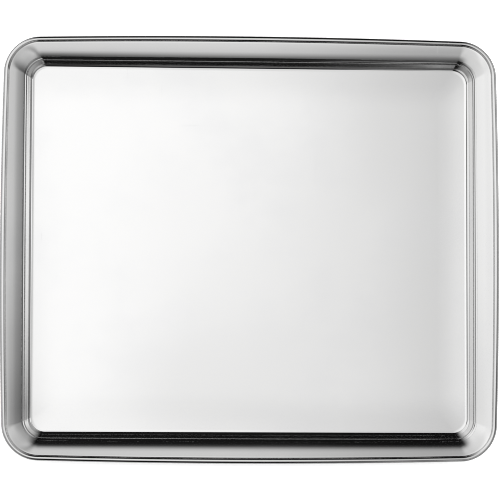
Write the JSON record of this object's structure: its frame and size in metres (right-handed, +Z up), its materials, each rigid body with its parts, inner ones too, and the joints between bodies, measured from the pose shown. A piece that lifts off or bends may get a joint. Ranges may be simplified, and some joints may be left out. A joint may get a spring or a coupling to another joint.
{
  "type": "covered cake pan",
  "caption": "Rectangular polished stainless steel cake pan with rounded corners, a rolled rim and a recessed lift-off cover.",
  "frame": {"origin": "on the table, under the middle of the pan's floor", "axes": "+X along the long side, +Y along the short side, +Z up, the way the cover lifts off"},
  "size_m": [0.356, 0.305, 0.0534],
  "materials": {
    "pan_steel": "bright polished stainless steel",
    "cover_steel": "mirror polished stainless steel",
    "wire_steel": "drawn steel wire"
  },
  "bodies": {
    "pan": {"pan": "pan_steel", "pan_rim_wire": "wire_steel"},
    "cover": {"cover": "cover_steel", "cover_rim_wire": "wire_steel"}
  },
  "joints": [
    {"name": "cover_lift", "type": "slide", "parent": "pan", "child": "cover", "axis": [0, 0, 1], "range_m": [0, 0.12]}
  ]
}
